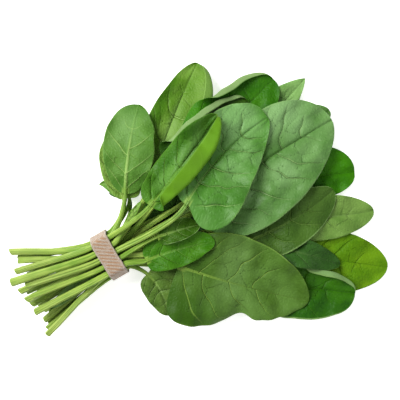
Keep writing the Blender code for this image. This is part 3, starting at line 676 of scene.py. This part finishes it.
def leaf_skin(
    dark, light, under, vein, rough=0.5, coat=0.0, net=0.5, rib=0.7, back=1.0, proud=False,
    margin=0.55, shine=0.13,
):
    """The finish of one leaf: a waxy green upper side with paler veins, a paler matt underside with
    the veins standing out, and a wet yellow-green stalk with fine streaks along it. Net, rib, back and
    margin say how clearly its veins, its midrib, the underside's veins and its rim show. On a proud
    one, which lies turned over, the veins stand out on top."""

    def made(name, spacing, seed, stalk_length):
        skin = Finish(name)
        across, along, edge = skin.field("across"), skin.field("along"), skin.field("edge")
        rise, phase, cell, radius = (skin.field(n) for n in ("rise", "vein", "cell", "rib"))
        grown, veined = skin.field("grown"), skin.field("veined")
        upper = skin.ease(rise, -0.06, 0.06)
        spot = skin.place(across, along, float(seed) * 7.0)
        wide = skin.noise(spot, 19.0, 2.0)
        fine = skin.noise(spot, 2.4, 3.0, 0.6)
        ring = abs(across) / radius

        side_vein = skin.fold(phase) * spacing
        line = skin.ease(side_vein, 0.12, 0.5, 1.0, 0.0) * veined
        flank = skin.ease(side_vein, 0.15, 1.15, 1.0, 0.0) * veined
        small = skin.ease(cell, 0.05, 0.42, 1.0, 0.0) * veined
        tiny_cells = {"Vector": spot, "Scale": 1 / NET_SIZE}
        tiny = skin.node("ShaderNodeTexVoronoi", {"feature": "DISTANCE_TO_EDGE"}, tiny_cells)
        mesh_line = skin.ease(tiny, 0.0, 0.11, 1.0, 0.0) * grown
        middle = skin.ease(ring, 0.55, 1.15, 1.0, 0.0)
        far = skin.ease(along, 0.0, 60.0, 1.0, 0.1)

        green = skin.blend(skin.ease(wide, 0.36, 0.64), dark, light)
        green = skin.blend(skin.ease(fine, 0.35, 0.7, 0.0, 0.35), green, light)
        # groove: a darker green used as painted shade in the sunken veins, cell rims and creases
        groove = tuple(0.55 * c for c in dark)
        deep_green_and_shade = (0.42 * dark[0], 0.62 * dark[1], 0.12 * dark[2])
        # painted_sheen_tone: the lighter, greyer green of a painted sheen
        painted_sheen_tone = tuple(1.15 * c + 0.035 for c in light)
        # Deep marks give a darker, more saturated green: partly the leaf's own tone, partly painted shade
        # where a blade bends away or lies in another leaf's shadow.
        green = skin.blend(skin.field("deep") * 0.95, green, deep_green_and_shade)
        # Sheen marks are painted highlights: a paler, milky green where the waxy blade would reflect the
        # lamps.
        green = skin.blend(skin.field("sheen") * 0.8, green, painted_sheen_tone)
        faint = 0.45 + 0.55 * skin.ease(skin.noise(spot, 11.0, 1.0), 0.4, 0.6)
        # On top, painted shade (groove) darkens the finest net, the rims of the small cells, the flanks of
        # the side veins and the midrib towards the tip; on a proud leaf only the finest net, and its small
        # veins are pale. The veins themselves are paler.
        top = skin.blend(mesh_line * 0.14, green, groove)
        top = skin.blend(small * (0.6 * net), top, vein if proud else groove)
        top = skin.blend(flank * faint * (0.0 if proud else 0.2 + 0.5 * net**2), top, groove)
        top = skin.blend(line * (0.85 if proud else 0.4 + 0.4 * net), top, vein)
        midrib_shade = skin.ease(ring, 0.2, 0.75, 1.0, 0.0) * grown * (1.0 - far)
        top = skin.blend(midrib_shade * (0.0 if proud else 0.6), top, groove)
        top = skin.blend(middle * grown * far * rib, top, vein)

        pale = skin.blend(skin.ease(wide, 0.3, 0.7), under, tuple(0.82 * c for c in under))
        low_vein = mixed(0.5, vein, STALK_CUT)
        low = skin.blend(mesh_line * (0.25 * back), pale, low_vein)
        low = skin.blend(small * (0.4 * back), low, low_vein)
        low = skin.blend(line * (0.75 * back), low, low_vein)
        low = skin.blend(middle * grown * 0.85, low, low_vein)

        streak = skin.noise(skin.place(across, along * 0.03, rise * 0.8 + float(seed)), 0.8, 2.0)
        cloud = skin.noise(skin.place(across * 0.3, along, float(seed)), 14.0, 1.0)
        paleness = seed * 0.618 % 1.0  # every stalk has its own
        far_cut = skin.ease(along, -stalk_length, -stalk_length * 0.4, 1.0, 0.0)
        stem = skin.blend(skin.ease(streak + 0.6 * (cloud - 0.5), 0.4, 0.6), STALK_GREEN, STALK_LIGHT)
        stem = skin.blend(far_cut * (0.2 + 0.6 * paleness), stem, STALK_CUT)
        # Painted shade along the groove on top of the stalk, stronger on paler stalks.
        stem = skin.blend(skin.ease(ring, 0.1, 0.45, 0.3 * paleness, 0.0) * upper, stem, STALK_GREEN)
        stem = skin.blend(skin.ease(along, -26.0, 0.0, 0.0, 0.45), stem, light)

        blade = skin.blend(upper, low, top)
        # The rim is paler: partly painted highlight where the edge catches the light, partly the pale
        # underside that shows at a turned margin.
        rim = skin.ease(edge, 0.99 - 0.05 * margin, 1.025 - 0.055 * margin) * margin
        rim_tone = PALE_RIM if margin == 1.0 else mixed(0.4, vein, light)
        blade = skin.blend(rim, blade, rim_tone)
        on_blade = skin.ease(grown, 0.15, 0.95) * (1.0 - middle * (1.0 - skin.ease(along, 0.0, 16.0)))
        colour = skin.blend(on_blade, stem, blade)
        gloss = rough + 0.16 * (fine - 0.5) + (1.0 - upper) * 0.14 * grown
        skin.set(Base_Color=colour, Roughness=gloss, Specular_IOR_Level=shine)
        skin.set(Coat_Weight=coat, Coat_Roughness=0.27)

        # Fields swell and veins sink on top, and the other way round below, or on a proud leaf on top
        side = upper * (-1.0 - back if proud else 1.0 + back) + (1.0 if proud else -back)
        swell = skin.ease(tiny, 0.0, 0.4) * 0.17 - line * 0.2
        swell = swell - flank * faint * (0.2 + 0.33 * net) - small * 0.33
        rough_skin = skin.noise(spot, 1.3, 2.0) * 0.04
        skin.bumps(grown * (swell * side + rough_skin) + (1.0 - grown) * streak * 0.35)
        return skin.material

    return made


grow(
    "leaf_thin_tip", (0, 0), (-56, 18), (33, 30, 8), (22, 39, 6), 4, 4,
    leaf_skin((0.035, 0.1, 0.012), (0.055, 0.15, 0.02), (0.09, 0.2, 0.05), (0.16, 0.32, 0.06)),
    "deep_leaf", 11, stalk=3, bow=-40,
)
# Its very dark green is painted shade: it stands for the shaded leaves that show between the stalks right
# of the band.
grow(
    "leaf_under_middle", (0, 1), (-60, 5), (30, 3, 4), (138, 12, 0), 20, 25,
    leaf_skin((0.012, 0.05, 0.003), (0.03, 0.09, 0.01), (0.09, 0.2, 0.05), (0.1, 0.22, 0.04)),
    "mid_leaf", 12, bow=3, cup=3, fold=1, seen={"lobe": 0.25},
)
# Its very dark green is painted shade, and its left side, widened past its solid, fills a dark shaded gap
# under the broad leaves.
grow(
    "leaf_under_right", (0, 3), (-60, -15), (48, -32, 4), (112, -72, 0), 23, 23,
    leaf_skin((0.015, 0.06, 0.004), (0.03, 0.1, 0.01), (0.09, 0.2, 0.05), (0.1, 0.22, 0.04)),
    "mid_leaf", 13, bow=-6, rings=8, cup=3, fold=1, seen={"left": 32},
)
grow(
    "leaf_far_right", (0, 2), (-65, -5), (113, -68, 4), (174, -112, 0), 23, 25,
    leaf_skin((0.064, 0.17, 0.002), (0.11, 0.235, 0.004), (0.14, 0.26, 0.03), (0.05, 0.14, 0.003),
              shine=0.07, net=0.75),
    "bright_leaf", 14, bow=4, cup=4, fold=2,
)

# Leaves of the second row: a small one behind the left-hand group, and five that show only their
# ends along the far edge. Grown like the others, and lying under the rows above them.

grow(
    "leaf_back_small", (1, 0), (-56, 29), (34, 33, 9), (19, 49, 6), 8, 8,
    leaf_skin((0.07, 0.17, 0.015), (0.1, 0.23, 0.03), (0.13, 0.25, 0.06), (0.2, 0.36, 0.08)),
    "mid_leaf", 21, stalk=3.4, bow=-30, blunt=(0.6, 1.1),
)
grow(
    "leaf_pointed", (1, 1), (-60, 17), (118, 12, 6), (191, 41, 3), 20, 15,
    leaf_skin((0.11, 0.25, 0.05), (0.17, 0.33, 0.09), (0.2, 0.36, 0.12), (0.24, 0.4, 0.14), net=1.0),
    "mid_leaf", 22, stalk=4.2, bow=4, blunt=(0.55, 0.85), cup=5, fold=3, quilt=1.3,
)
grow(
    "leaf_top_sliver", (1, 2), (-66, 7), (112, 8, 7), (195, 11, 3), 21, 16,
    leaf_skin((0.065, 0.17, 0.03), (0.095, 0.23, 0.045), (0.15, 0.27, 0.09), (0.17, 0.33, 0.1)),
    "soft_leaf", 23, stalk=4.2, cup=5, fold=3,
)
grow(
    "leaf_right_dark", (1, 3), (-64, -2), (125, -13, 7), (188, -38, 3), 24, 18,
    leaf_skin((0.018, 0.105, 0.001), (0.036, 0.17, 0.002), (0.1, 0.22, 0.03), (0.06, 0.2, 0.01),
              rough=0.44, shine=0.07),
    "deep_leaf", 24, bow=4, blunt=(0.5, 0.42), cup=5, fold=3, quilt=1.4, roll=1.6,
)
grow(
    "leaf_right_tip", (1, 4), (-62, -11), (125, -42, 7), (186, -70, 3), 17, 17,
    leaf_skin((0.078, 0.17, 0.024), (0.138, 0.252, 0.048), (0.17, 0.3, 0.08), (0.22, 0.37, 0.1),
              rough=0.52),
    "soft_leaf", 25, stalk=4.2, bow=-4, cup=5, fold=3,
)
grow(
    "leaf_cupped_right", (1, 5), (-64, -21), (80, -72, 8), (143, -116, 3), 24, 24,
    leaf_skin((0.012, 0.075, 0.001), (0.03, 0.13, 0.002), (0.17, 0.3, 0.1), (0.06, 0.17, 0.015),
              rough=0.44, shine=0.1, back=0.3, margin=1.0),
    "bright_leaf", 26, bow=4, cup=14, fold=6, curl_left=(0.6, 0.86, 140), curl_run=(0.3, 0.6), columns=5,
    rings=11, blunt=(0.5, 0.42), quilt=1.4,
)

# Leaves of the middle row: three at the back, two of them tall with a margin that rolls inwards and
# shows the pale underside, an olive one low on the left, and a dark and an olive one on the right.
# The band holds their stalks, and their blades lie on the leaves of the rows below.

grow(
    "leaf_back_left", (2, 0), (-58, 33), (30, 31, 12), (46, 75, 8), 11, 15,
    leaf_skin((0.11, 0.22, 0.025), (0.17, 0.3, 0.05), (0.2, 0.33, 0.1), (0.28, 0.43, 0.12)),
    "mid_leaf", 31, stalk=4, bow=12, arch=2, widest=1.5, quilt=1.5,
    seen={"widest_right": 0.8, "right": 17, "lobe": 0.2},
)
grow(
    "leaf_boat", (2, 1), (-62, 23), (48, 26, 14), (127, 91, 6), 19, 27,
    leaf_skin((0.075, 0.19, 0.01), (0.125, 0.25, 0.032), (0.12, 0.24, 0.04), (0.24, 0.41, 0.1),
              rough=0.46, shine=0.1, rib=1.0, back=0.4, net=0.9),
    "bright_leaf", 32, bow=4, arch=2, fold=9, cup=16, curl_right=(0.6, 0.84, 145), curl_run=(0.45, 0.75),
    columns=5, blunt=(0.5, 0.62), blunt_right=(0.5, 0.45), widest_right=1.3,
    seen={"right": 35, "curl_right": (0.62, 0.86, 145)}, deep=((15, 60, 7, 60, 0.8),),
    sheen=((-1, 40, 4, 30, 0.9), (-14, 52, 7, 14, 0.8)),
)
grow(
    "leaf_tall_back", (2, 2), (-70, 9.5), (84, 29, 12), (170, 52, 6), 29, 20,
    leaf_skin((0.016, 0.1, 0.001), (0.036, 0.16, 0.002), (0.18, 0.3, 0.1), (0.07, 0.2, 0.02),
              rough=0.44, shine=0.1, back=0.3, net=0.9),
    "bright_leaf", 33, cup=6, fold=3, curl_left=(0.64, 0.86, 140), curl_run=(0.35, 0.65), columns=5,
    rings=11, blunt=(0.5, 0.42), widest=1.0,
)
grow(
    "leaf_low_left", (2, 5), (-66, -24), (17, -26, 11), (14, -61, 2), 13, 12,
    leaf_skin((0.062, 0.133, 0.016), (0.094, 0.174, 0.027), (0.1, 0.18, 0.04), (0.19, 0.31, 0.08)),
    "olive_leaf", 34, stalk=3.8, bow=24, cup=-10, seen={"left": 19},
)
grow(
    "leaf_narrow_dark", (2, 4), (-65, -17.5), (94, -44, 9), (144, -92, 4), 12, 11,
    leaf_skin((0.017, 0.06, 0.007), (0.03, 0.095, 0.013), (0.1, 0.21, 0.05), (0.1, 0.2, 0.05),
              shine=0.1, rough=0.42, rib=1.0),
    "deep_leaf", 35, stalk=4.2, bow=6, cup=6, fold=3,
)
grow(
    "leaf_olive", (2, 3), (-67, -3), (92, -42, 10), (167, -41, 5), 19, 20,
    leaf_skin((0.032, 0.082, 0.008), (0.053, 0.12, 0.015), (0.12, 0.22, 0.05), (0.14, 0.25, 0.05),
              shine=0.1, rough=0.46, margin=1.0),
    "olive_leaf", 36, bow=-10, cup=6, fold=3,
)

# Leaves of the fourth row: a pale scrap that lies the other way round among the cut ends, the leaf
# with its underside up, one with a rolled margin, and the two broad leaves of the right-hand side.
# Each is one grown piece again, held by its stalk in the band.

grow(
    "leaf_turned_back", (3, 3), (24, -13), (-16, -6, 19), (-57, -12, 18), 5, 5,
    leaf_skin((0.14, 0.27, 0.06), (0.19, 0.33, 0.1), (0.2, 0.33, 0.11), (0.25, 0.4, 0.1)),
    "pale_leaf", 41, stalk=4, rings=6,
)
grow(
    "leaf_pale_back", (3, 0), (-61, 38), (33, 33, 17), (74, 85, 10), 20, 19,
    leaf_skin((0.044, 0.136, 0.011), (0.078, 0.188, 0.026), (0.07, 0.2, 0.03), (0.24, 0.38, 0.1),
              rib=1.0, net=0.25, proud=True),
    "soft_leaf", 42, bow=6, arch=2, turned_over=True, quilt=0.6, lobe=0.0, blunt=(0.85, 0.5),
    blunt_right=(0.62, 0.55), widest_right=0.8, sheen=((6, 50, 9, 13, 0.8),),
)
grow(
    "leaf_sliver", (3, 1), (-59, 29.6), (72, 34, 18), (145, 47, 8), 25, 13,
    leaf_skin((0.013, 0.055, 0.002), (0.03, 0.09, 0.004), (0.175, 0.29, 0.1), (0.09, 0.2, 0.03),
              back=0.3, net=0.9),
    "mid_leaf", 43, stalk=4.2, bow=-4, arch=2, cup=6, fold=3, curl_left=(0.6, 0.84, 140),
    curl_run=(0.0, 0.25), columns=5, blunt=(0.3, 0.34), widest=1.0, quilt=1.3,
)
grow(
    "leaf_main_right", (3, 2), (-67, 1.5), (72, 0, 18), (192, 4, 9), 33, 42,
    leaf_skin((0.067, 0.178, 0.032), (0.118, 0.252, 0.068), (0.16, 0.28, 0.09), (0.22, 0.37, 0.12),
              rough=0.48, shine=0.16, coat=0.08, net=0.9),
    "soft_leaf", 44, stalk=4.6, bow=2, quilt=2.0, veins_fade=(0.74, 0.93), arch=3, cup=5, fold=3,
    blunt=(0.93, 0.5), widest=1.0, blunt_right=(0.9, 0.6), widest_right=0.5, columns=4,
    deep=((5, 64, 6, 22, 0.5), (-32, 74, 10, 30, 0.3), (-26, 34, 8, 14, 0.3), (12, 24, 14, 12, 0.3)),
    sheen=((25, 82, 13, 30, 1.3), (-14, 70, 9, 10, 1.0), (-12, 36, 7, 9, 0.8), (10, 48, 7, 8, 0.7),
           (12, 97, 10, 12, 0.9)),
)
grow(
    "leaf_front_big", (3, 4), (-67, -27.5), (40, -32, 16), (110, -103, 5), 36, 40,
    leaf_skin((0.05, 0.115, 0.012), (0.078, 0.168, 0.026), (0.13, 0.23, 0.06), (0.2, 0.33, 0.05),
              shine=0.08, rough=0.46, coat=0.04),
    "mid_leaf", 45, stalk=4, bow=-4, arch=2, cup=3, lobe=0.0, blunt_right=(0.5, 0.72), widest_right=0.5,
    dent=(0.53, 0.13, 0.32), curl_right=(0.45, 1.0, -40), columns=4, rings=11, quilt=0.6,
    deep=((-36, 12, 22, 27, 0.85), (-26, -4, 16, 14, 0.85), (14, 10, 20, 11, 0.6)),
    sheen=((10, 40, 28, 11, 0.5), (-14, 52, 14, 14, 0.25)),
)

# The top row: the broad leaf in the middle with its base lobe, the rolled one beside it, two small
# leaves low on the right, and a stalk whose blade has been torn off. They lie over all the others,
# and only the band round their stalks holds them.

grow(
    "leaf_small_bright", (4, 4), (-66, -9), (22, -17, 22), (72, -30, 12), 14, 13,
    leaf_skin((0.027, 0.118, 0.002), (0.048, 0.165, 0.006), (0.13, 0.25, 0.06), (0.12, 0.27, 0.04),
              shine=0.1, rough=0.44),
    "bright_leaf", 51, stalk=4.6, bow=8, arch=2, quilt=0.4,
)
grow(
    "leaf_small_olive", (4, 3), (-61, 2), (38, -6, 24), (69, -14, 16), 9, 8,
    leaf_skin((0.026, 0.083, 0.003), (0.044, 0.115, 0.008), (0.11, 0.2, 0.05), (0.17, 0.3, 0.07),
              shine=0.1, rough=0.44, margin=1.0),
    "olive_leaf", 52, stalk=3.8, bow=4, arch=1, rings=7,
)
grow(
    "leaf_main_left", (4, 2), (-61, 10.6), (68, 4, 24), (151, 29, 16), 27, 36,
    leaf_skin((0.054, 0.182, 0.018), (0.098, 0.24, 0.052), (0.15, 0.27, 0.09), (0.21, 0.38, 0.1),
              rough=0.48, shine=0.16, coat=0.08, net=0.9),
    "mid_leaf", 53, stalk=4.6, bow=15, quilt=2.0, veins_fade=(0.74, 0.93), arch=3, lobe=0.03, ear=0.1,
    blunt=(0.6, 0.42), widest=1.0, blunt_right=(0.5, 0.6), widest_right=0.5, columns=4, rings=11,
    deep=((6, 32, 7, 18, 0.7), (-30, 34, 10, 12, 0.6), (-26, 14, 12, 12, 0.35), (-3, 18, 4, 14, 0.7)),
    sheen=((-12, 44, 8, 7, 0.6), (14, 72, 16, 13, 1.2), (20, 20, 8, 18, 0.5), (-24, 66, 6, 8, 0.6),
           (-8, 62, 8, 8, 0.6)),
)
grow(
    "leaf_stump", (4, 1), (-69, 18), (24, 14, 24), (40, 22, 24), 2.4, 2.4,
    leaf_skin((0.1, 0.23, 0.02), (0.16, 0.3, 0.045), (0.18, 0.31, 0.08), (0.22, 0.38, 0.1)),
    "pale_leaf", 54, flare=1.45, rings=4,
)
grow(
    "leaf_rolled", (4, 0), (-64, 23.5), (45, 16, 24), (118, 47, 16), 17, 34,
    leaf_skin((0.034, 0.126, 0.006), (0.062, 0.18, 0.014), (0.098, 0.245, 0.008), (0.12, 0.27, 0.03),
              shine=0.12, rough=0.44, coat=0.03, back=0.12, net=0.9),
    "bright_leaf", 55, stalk=4.2, bow=-2, quilt=1.6, arch=2, cup=8, curl_right=(0.3, 0.58, 162),
    curl_run=(0.0, 0.14), tip_curl=(0.86, 50), columns=7, lobe=0.0, blunt=(0.4, 0.45),
    blunt_right=(0.7, 0.42), rings=12, seen={"right": 28, "curl_right": (0.36, 0.7, 162)},
    deep=((10, 40, 4, 40, 0.5),), sheen=((2, 50, 5, 18, 0.6), (4, 22, 5, 10, 0.6)),
)

# The band: a short strap, woven in a twill of pinkish beige yarn with thin orange-brown ribs. It is
# one closed loop, pulled tight round all the stalks.

BAND_WIDTH = 13.5
LOOP_STEPS = 420
WIDTH_STEPS = 46
TWILL_RIBS = 36
TWILL_LEAN = 1.6  # ribs passed from the middle of the band to its edge
LEAN_TURNS = (0.17, 0.6)  # shares of the way round between which the ribs lean the other way
RIB_HEIGHT = 0.09
SELVEDGE_HEIGHT = 0.05
SELVEDGE_STITCH = 0.9


def band_loop():
    """The strap's inner line round the stalks, as evenly spaced points y, z with their outward ways."""
    centres = np.array([place_in_band((row, n)) for row, size in enumerate(ROW_SIZES) for n in range(size)])
    angles = np.linspace(0, math.tau, 4 * 360 + 1)[:-1]
    ways = np.column_stack([np.cos(angles), np.sin(angles)])
    reached = centres[np.argmax(ways @ centres.T, axis=1)]
    loop = reached + ways * (STALK_PITCH[1] / 2 + BAND_GAP)
    closed = np.vstack([loop, loop[:1]])
    run = run_of(closed)
    at = np.linspace(0, run[-1], LOOP_STEPS + 1)[:-1]
    line = np.column_stack([np.interp(at, run, places) for places in closed.T])
    for _ in range(10):
        line = (np.roll(line, 1, 0) + 2 * line + np.roll(line, -1, 0)) / 4
    way = np.roll(line, -1, 0) - np.roll(line, 1, 0)
    way /= np.linalg.norm(way, axis=1)[:, None]
    return line, np.column_stack([way[:, 1], -way[:, 0]]), at, run[-1]


def woven_band():
    line, outward, at, around = band_loop()
    width = np.linspace(-1, 1, WIDTH_STEPS + 1)
    gone = at[:, None] / around
    turn = gone * TWILL_RIBS
    slant = np.where((gone > LEAN_TURNS[0]) & (gone < LEAN_TURNS[1]), -1.0, 1.0)
    rib = np.sin(math.tau * (turn + slant * TWILL_LEAN * width[None, :]))
    selvedge = smooth(0.74, 0.84, np.abs(width))[None, :]
    stitch = np.sin(math.tau * at[:, None] / SELVEDGE_STITCH)
    weave = RIB_HEIGHT * rib * (1 - selvedge) + SELVEDGE_HEIGHT * stitch * selvedge
    pull = 0.18 * np.sin(math.tau * (at / around * 5) + 0.6) + 0.12 * np.sin(math.tau * at / around * 11)
    half = BAND_WIDTH / 2 + pull[:, None] * 0.5
    x = half * width[None, :] + 0.25 * np.sin(math.tau * at / around * 3)[:, None]
    edge = np.sqrt(np.clip(1 - ((np.abs(width) - 0.93) / 0.07).clip(0, 1) ** 2, 0, 1))[None, :]
    outer = BAND_THICKNESS / 2 + (0.42 + weave) * edge + 0.1 * selvedge * edge
    inner = BAND_THICKNESS / 2 - 0.34 * edge
    sheets = []
    for out in (outer, inner + 0 * outer):
        spot = line[:, None, :] + outward[:, None, :] * out[:, :, None]
        sheets.append(np.concatenate([(x + 0 * out)[:, :, None], spot], axis=2))
    grid = np.arange(x.size).reshape(x.shape)
    grid = np.vstack([grid, grid[:1]])
    low = grid + x.size
    band = thin_body("woven_band", sheets, [
        grid_faces(grid)[:, FLIPPED], grid_faces(low),
        wall_faces(grid[:, 0], low[:, 0]), wall_faces(grid[:, -1], low[:, -1])[:, FLIPPED],
    ], {"round": turn + 0 * x, "wide": width[None, :] + 0 * x, "slant": slant + 0 * x})
    band.data.shade_smooth()
    band.data.update()
    return band


def yarn():
    cloth = Finish("beige_yarn")
    turn, wide, slant = cloth.field("round"), cloth.field("wide"), cloth.field("slant")
    spot = cloth.place(turn, wide * 3.0)
    wander = cloth.noise(spot, 1.4, 2.0)
    rib = cloth.fold(turn + slant * TWILL_LEAN * wide + 0.25)
    stripe = cloth.ease(rib + (wander - 0.5) * 0.5, 0.14, 0.3, 1.0, 0.0)
    plain = cloth.ease(abs(wide) + (wander - 0.5) * 0.3, 0.7, 0.84)
    fade = cloth.ease(cloth.noise(cloth.place(turn * 0.25, wide), 1.0, 1.0), 0.34, 0.46, 0.4)
    fluff = cloth.noise(cloth.node("ShaderNodeTexCoord", out="Object"), 0.00035, 3.0, 0.7)
    base = cloth.blend(cloth.ease(fluff, 0.4, 0.6), (0.17, 0.12, 0.08), (0.44, 0.36, 0.29))
    colour = cloth.blend(stripe * (1.0 - plain) * fade * 0.85, base, (0.25, 0.115, 0.035))
    threads = cloth.fold(turn * 4.0)
    colour = cloth.blend(threads * 0.35, colour, (0.44, 0.38, 0.31))
    cloth.set(Base_Color=colour, Roughness=0.92, Sheen_Weight=0.3, Sheen_Roughness=0.6)
    cloth.bumps(fluff * 0.16 + threads * 0.2)
    return cloth.material


band = woven_band()
band.data.materials.append(yarn())
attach(band, "root")
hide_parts("tie_band")

# The table: a plain white board under the bunch, soft light from large lamps, and a camera that
# looks straight down with the bunch's length turned 30 degrees in the picture.

bpy.ops.mesh.primitive_plane_add(size=6.0, location=(0, 0, -0.0002))
table = bpy.context.object
table.name = "table_top"
board = Finish("white_board")
board.set(Base_Color=(0.9, 0.9, 0.9), Roughness=1.0, Specular_IOR_Level=0.0)
board.set(Emission_Color=(1.0, 1.0, 1.0), Emission_Strength=0.6)
table.data.materials.append(board.material)


def lamp(name, place, size, power, colour):
    """A round lamp that points at the bunch."""
    light = bpy.data.lights.new(name, "AREA")
    light.shape, light.size, light.energy, light.color = "DISK", size, power, colour
    holder = bpy.data.objects.new(name, light)
    holder.location = place
    holder.rotation_euler = (-Vector(place)).to_track_quat("-Z", "Y").to_euler()
    scene.collection.objects.link(holder)


lamp("key_lamp", (-0.45, 0.8, 0.95), size=0.85, power=26.5, colour=(1.0, 0.99, 0.97))
lamp("fill_lamp", (0.6, -0.7, 1.2), size=1.2, power=5.0, colour=(1.0, 1.0, 1.0))

world = bpy.data.worlds.new("studio")
world.use_nodes = True
background = world.node_tree.nodes["Background"].inputs
background["Color"].default_value = (1.0, 1.0, 1.0, 1.0)
background["Strength"].default_value = 0.42
scene.world = world
scene.view_settings.view_transform = "Standard"

PICTURE_LEVEL = 0.02  # the height in the bunch at which the picture is 292 mm wide
CAMERA_HEIGHT = 0.811  # above that level
PICTURE_MIDDLE = (0.01564, 0.01686)
PICTURE_TURN = math.radians(-30)
lens = bpy.data.cameras.new("camera")
lens.sensor_width, lens.lens = 36.0, 100.0
lens.clip_start, lens.clip_end = 0.01, 20.0
camera = bpy.data.objects.new("camera", lens)
camera.location = (*PICTURE_MIDDLE, PICTURE_LEVEL + CAMERA_HEIGHT)
camera.rotation_euler = (0.0, 0.0, PICTURE_TURN)
scene.collection.objects.link(camera)
scene.camera = camera
